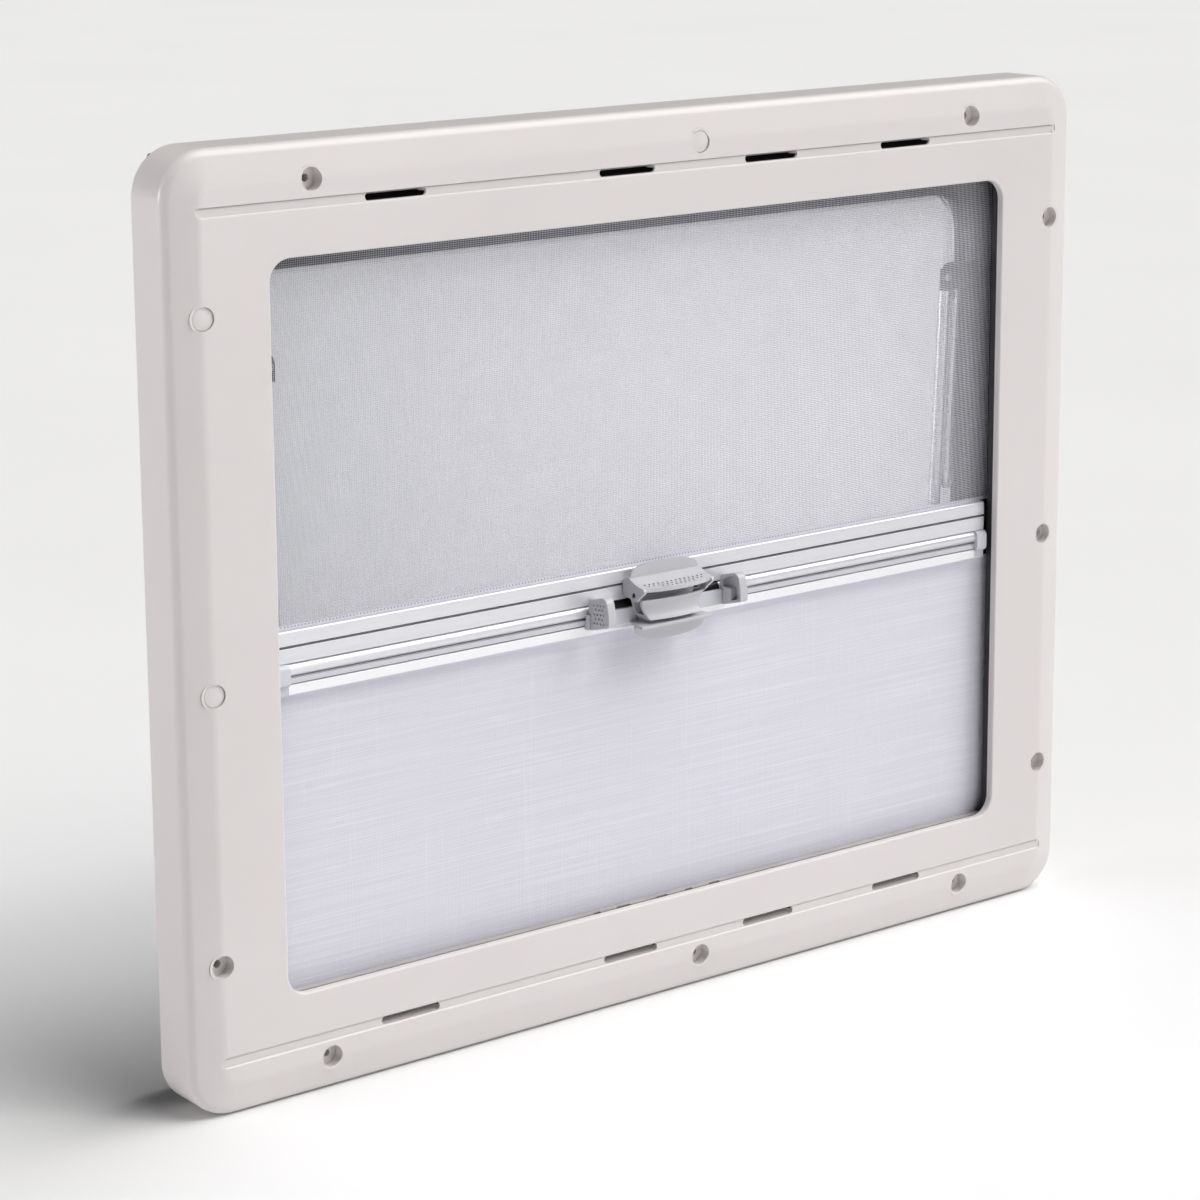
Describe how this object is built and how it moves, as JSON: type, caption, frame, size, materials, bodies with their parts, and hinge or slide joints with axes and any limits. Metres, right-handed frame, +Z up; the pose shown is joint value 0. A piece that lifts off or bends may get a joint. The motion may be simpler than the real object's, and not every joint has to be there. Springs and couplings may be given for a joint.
{
  "type": "caravan window",
  "caption": "Top-hung double acrylic caravan window with outer frame, moulded inner frame, insect screen and roller blind latched together by a grip with pinch clips.",
  "frame": {"origin": "centre of the opening, on the plane where the inner frame bears on the wall's inner surface", "axes": "+X along the window to the right as seen from the room, +Y from the room to the outdoors, +Z up"},
  "size_m": [0.726, 0.0872, 0.591],
  "materials": {
    "trim": "fine-grained moulded plastic, satin",
    "black_plastic": "matt",
    "grey_plastic": "satin",
    "pale_plastic": "satin",
    "aluminium_rail": "satin anodised",
    "dark_aluminium": "powder coated, satin",
    "acrylic": "clear, gloss",
    "seal_rubber": "matt",
    "screen_cloth": "fine open mesh",
    "blind_cloth": "linen weave, coated"
  },
  "bodies": {
    "window": {"inner_frame": "trim", "screw_caps": "trim", "top_cassette": "black_plastic", "bottom_cassette": "black_plastic", "screen_roller": "screen_cloth", "blind_roller": "blind_cloth", "cassette_ends": "black_plastic", "guide_left": "black_plastic", "guide_right": "black_plastic", "insect_screen": "screen_cloth", "blind_fabric": "blind_cloth", "screen_end_rail": "aluminium_rail", "screen_rail_glides": "black_plastic", "blind_end_rail": "aluminium_rail", "blind_rail_caps": "pale_plastic", "catch_base": "grey_plastic", "blind_handle": "grey_plastic", "clip_bar": "pale_plastic", "outer_frame": "black_plastic", "sash_seal": "seal_rubber", "hinge_rail": "dark_aluminium", "sash_hinge_rail": "dark_aluminium", "outer_pane": "acrylic", "inner_pane": "acrylic", "stay_bracket_left": "black_plastic", "stay_bracket_right": "black_plastic", "stay_bar_left": "aluminium_rail", "stay_bar_right": "aluminium_rail", "stay_slide_left": "aluminium_rail", "stay_slide_right": "aluminium_rail", "stay_foot_left": "black_plastic", "stay_foot_right": "black_plastic", "sash_latch_left": "black_plastic", "sash_latch_right": "black_plastic", "latch_keepers": "black_plastic"},
    "lever": {"catch_lever": "grey_plastic"},
    "left_clip": {"pinch_clip_left": "grey_plastic"},
    "right_clip": {"pinch_clip_right": "grey_plastic"}
  },
  "joints": [
    {"name": "lever_tilt", "type": "hinge", "parent": "window", "child": "lever", "pos_m": [0, -0.042, -0.0154], "axis": [1, 0, 0], "range_deg": [0, 10], "stiffness_Nm_per_rad": 0.1, "springref_deg": -9.74},
    {"name": "left_pinch", "type": "slide", "parent": "window", "child": "left_clip", "axis": [1, 0, 0], "range_m": [0, 0.012], "stiffness_N_per_m": 120, "springref_m": -0.004},
    {"name": "right_pinch", "type": "slide", "parent": "window", "child": "right_clip", "axis": [-1, 0, 0], "range_m": [0, 0.012], "stiffness_N_per_m": 120, "springref_m": -0.004}
  ]
}
